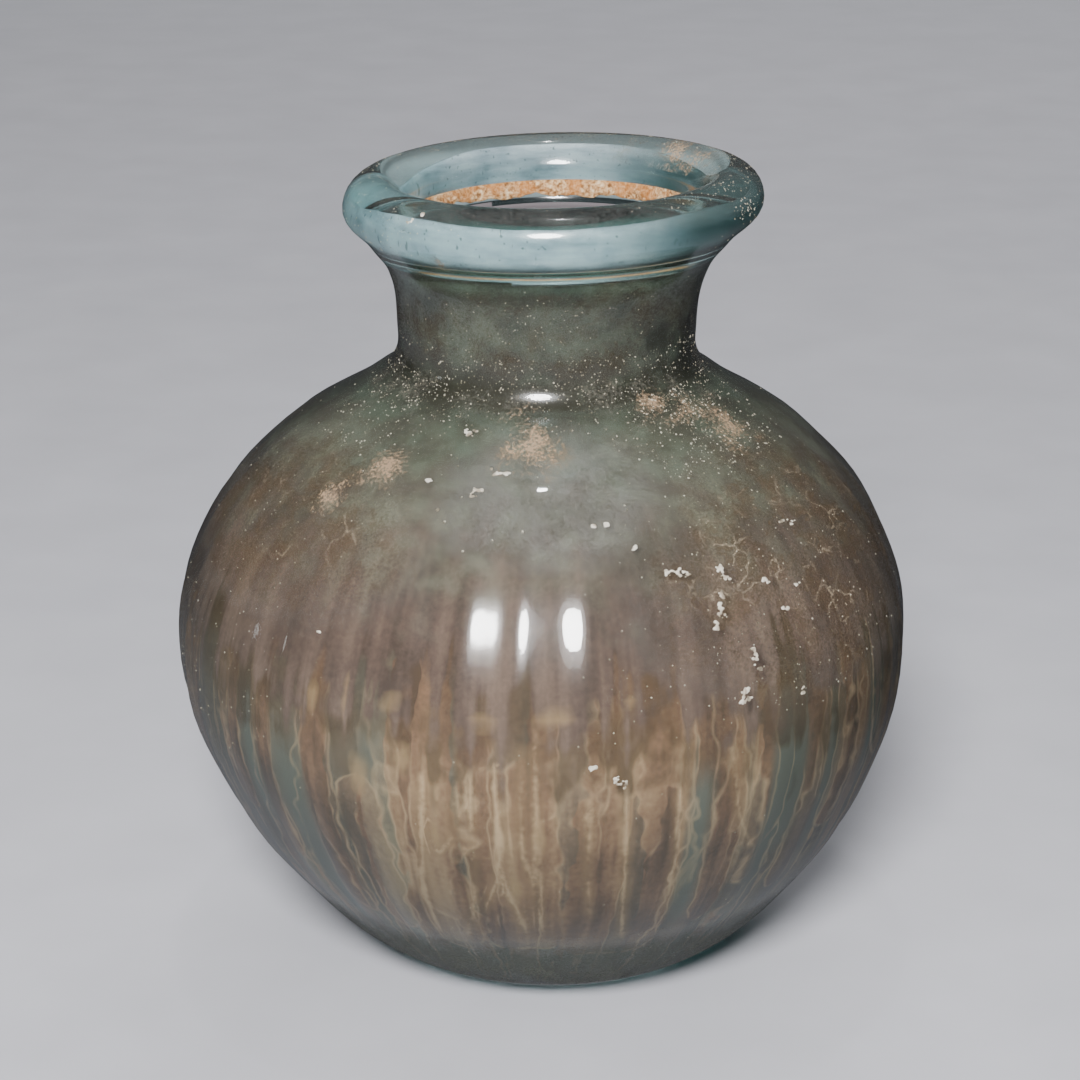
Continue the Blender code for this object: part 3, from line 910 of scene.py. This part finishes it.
def crustMaterial(piece, name, tones):
    # a dry mineral crust: chalky and matt, pitted at a quarter of a millimetre
    tree, shader, place = newMaterial(piece, name)
    patches = addNode(tree, "TexNoise", {"Scale": 900.0, "Detail": 4.0, "Vector": place})
    pits = addNode(tree, "TexNoise", {"Scale": 4000.0, "Detail": 3.0, "Vector": place})
    colour = addNode(tree, "ValToRGB", {"stops": list(zip((0.32, 0.42, 0.56), tones)), "Fac": patches})
    bump = addNode(tree, "Bump", {"Strength": 0.7, "Distance": 0.06 * mm, "Height": pits})
    setSockets(tree, shader, {
        "Base Color": colour, "Roughness": 0.95, "Specular IOR Level": 0.15, "Normal": bump})


limeFlakes = growFlakes("limeFlakes", flakeShape["lime"], 0.11, 0.02)
crustMaterial(limeFlakes, "limeCrust", limeTones)
print("flakes grown:", len(limeFlakes.data.polygons), "faces")

# lime speckle: hundreds of grains round the root of the neck and on the rim
speckleShape = {
    "seed": 23,
    # zones: count, azimuth middle and spread, height from and to, largest half width in mm
    "zones": [
        (700, 5, 110, 60.2, 66.5, 0.11), (480, 50, 34, 56.5, 62.3, 0.14), (300, -55, 35, 57, 63.5, 0.12),
        (260, 0, 85, 65.5, 74, 0.08), (200, 105, 60, 76.5, 81.6, 0.11), (40, 64, 7, 79.2, 81.2, 0.13),
        (150, -60, 50, 76, 81.6, 0.09), (420, 180, 110, 82.2, 86, 0.10), (90, 60, 40, 82.2, 84.5, 0.12),
        (120, -30, 80, 82.2, 84.5, 0.07), (340, 42, 42, 36, 57, 0.12), (240, -62, 36, 28, 57, 0.10),
        (260, 180, 100, 18, 66, 0.11), (170, 0, 70, 8, 36, 0.07), (12, -20, 25, 52, 58.5, 0.24)],
}


def makeSpeckle():
    dice = random.Random(speckleShape["seed"])
    piece = newGrain()
    piece.name = piece.data.name = "limeSpeckle"
    grain = [vertex.co / mm for vertex in piece.data.vertices]
    total = sum(zone[0] for zone in speckleShape["zones"])
    # one grain is copied, and each copy is set on the wall in its own size
    applyModifier(piece, "ARRAY", {"count": total, "use_relative_offset": False, "use_constant_offset": True,
                                   "constant_offset_displace": (0.01, 0, 0)})
    index = 0
    for count, middle, spread, low, high, size in speckleShape["zones"]:
        for _ in range(count):
            azimuth = middle + spread * (dice.random() + dice.random() - 1)
            height = dice.uniform(low, high)
            wide = size * (0.35 + 0.65 * dice.random() ** 2)
            tall, turn = wide * dice.uniform(0.5, 1.0), dice.uniform(0, math.pi)
            place, normal, right, upward = footOnGlass(azimuth, height)
            for spot in grain:
                along, aside = spot.x * wide, spot.y * tall
                across = (along * math.cos(turn) - aside * math.sin(turn)) * dice.uniform(0.8, 1.2)
                up = (along * math.sin(turn) + aside * math.cos(turn)) * dice.uniform(0.8, 1.2)
                lift = 0.35 * wide * spot.z + 0.02
                piece.data.vertices[index].co = place + (right * across + upward * up + normal * lift) * mm
                index += 1
    bpy.ops.object.shade_smooth()
    crustMaterial(piece, "limeDust", speckleTones)
    return piece


limeSpeckle = makeSpeckle()
print("speckle set:", len(limeSpeckle.data.polygons), "faces")

# every piece rides on the one body, and the CAD glass is hidden, for they stand in its place
for piece in (flaskGlass, soilFilm, foldSeam, sandyCrust, weatherSkin, limeFlakes, limeSpeckle):
    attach(piece, "root")
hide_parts("glass_flask")

# plain pale floor and soft studio light
studio = {"floor": "#cbcbd2", "floorDark": "#c4c4cb", "floorSize": 2.4, "floorFade": (0.45, 0.9),
          "world": "#b9bcc4", "worldStrength": 0.09, "backdropStrength": 0.8, "aimHeight": 0.042,
          # the room is paler low down in front and to the left, which the glass mirrors in place of the floor
          "paleWay": (-0.22, -0.4, -1), "paleFrom": 0, "paleTo": 0.8, "paleStrength": 1.05,
          # lamps: azimuth, elevation, distance and size in metres, power, and whether the glass mirrors it
          "lamps": {
              "key": (-5.9, 35, 0.62, 0.17, 7.7, True), "halo": (-5.9, 35, 0.66, 0.3, 0.5, True),
              "overhead": (10, 80, 1, 1, 0.6, False), "shoulder": (178, 84, 0.9, 0.035, 0.5, True),
              "left": (-87, 8, 0.7, 0.06, 0.025, True), "back": (165, 38, 1.1, 0.8, 4.5, False)}}


def makeStudio():
    bpy.ops.mesh.primitive_plane_add(size=studio["floorSize"], location=(0, 0, 0))
    floor = bpy.context.object
    floor.name = "paleFloor"
    tree, shader, place = newMaterial(floor, "palePaper")
    fibre = addNode(tree, "TexNoise", {"Scale": 60.0, "Detail": 5.0, "Vector": place})
    colour = addNode(tree, "ValToRGB", {
        "stops": [(0.3, studio["floorDark"]), (0.7, studio["floor"])], "Fac": fibre})
    # it fades out into the backdrop, so that its far edge is never seen
    far = addNode(tree, "VectorMath", {"operation": "LENGTH", 0: place}).outputs["Value"]
    fade = addNode(tree, "MapRange", {"From Min": studio["floorFade"][0], "From Max": studio["floorFade"][1],
                                      "To Min": 1.0, "To Max": 0.0, "Value": far})
    setSockets(tree, shader, {"Base Color": colour, "Roughness": 0.8, "Alpha": fade})
    floor.visible_glossy = False  # flagged off, as a photographer does, so that the glass doesn't mirror it
    aim = Vector((0, 0, studio["aimHeight"]))
    for name, (azimuth, elevation, distance, size, power, mirrored) in studio["lamps"].items():
        place = placeAround(aim, azimuth, elevation, distance)
        bpy.ops.object.light_add(type="AREA", location=place)
        lamp = bpy.context.object
        lamp.name = name + "Light"
        lamp.rotation_euler = (aim - place).to_track_quat("-Z", "Y").to_euler()
        lamp.data.shape, lamp.data.size, lamp.data.energy = "DISK", size, power
        lamp.visible_glossy = lamp.visible_transmission = mirrored
    world = bpy.data.worlds.new("softStudio")
    bpy.context.scene.world = world
    world.use_nodes = True
    # beyond the floor stands a pale backdrop, which lights the flask only faintly
    tree = world.node_tree
    way = addNode(tree, "TexCoord", {}).outputs["Object"]
    pale = addNode(tree, "VectorMath", {"operation": "DOT_PRODUCT", 0: way, 1: studio["paleWay"]})
    pale = addNode(tree, "MapRange", {
        "From Min": studio["paleFrom"], "From Max": studio["paleTo"],
        "To Min": studio["worldStrength"], "To Max": studio["paleStrength"], "Value": pale.outputs["Value"]})
    ray = addNode(tree, "LightPath", {}).outputs["Is Camera Ray"]
    strength = addNode(tree, "MapRange", {"Value": ray, "To Min": pale, "To Max": studio["backdropStrength"]})
    setSockets(tree, tree.nodes["Background"], {"Color": linearColour(studio["world"]), "Strength": strength})


makeStudio()
print("studio lit")
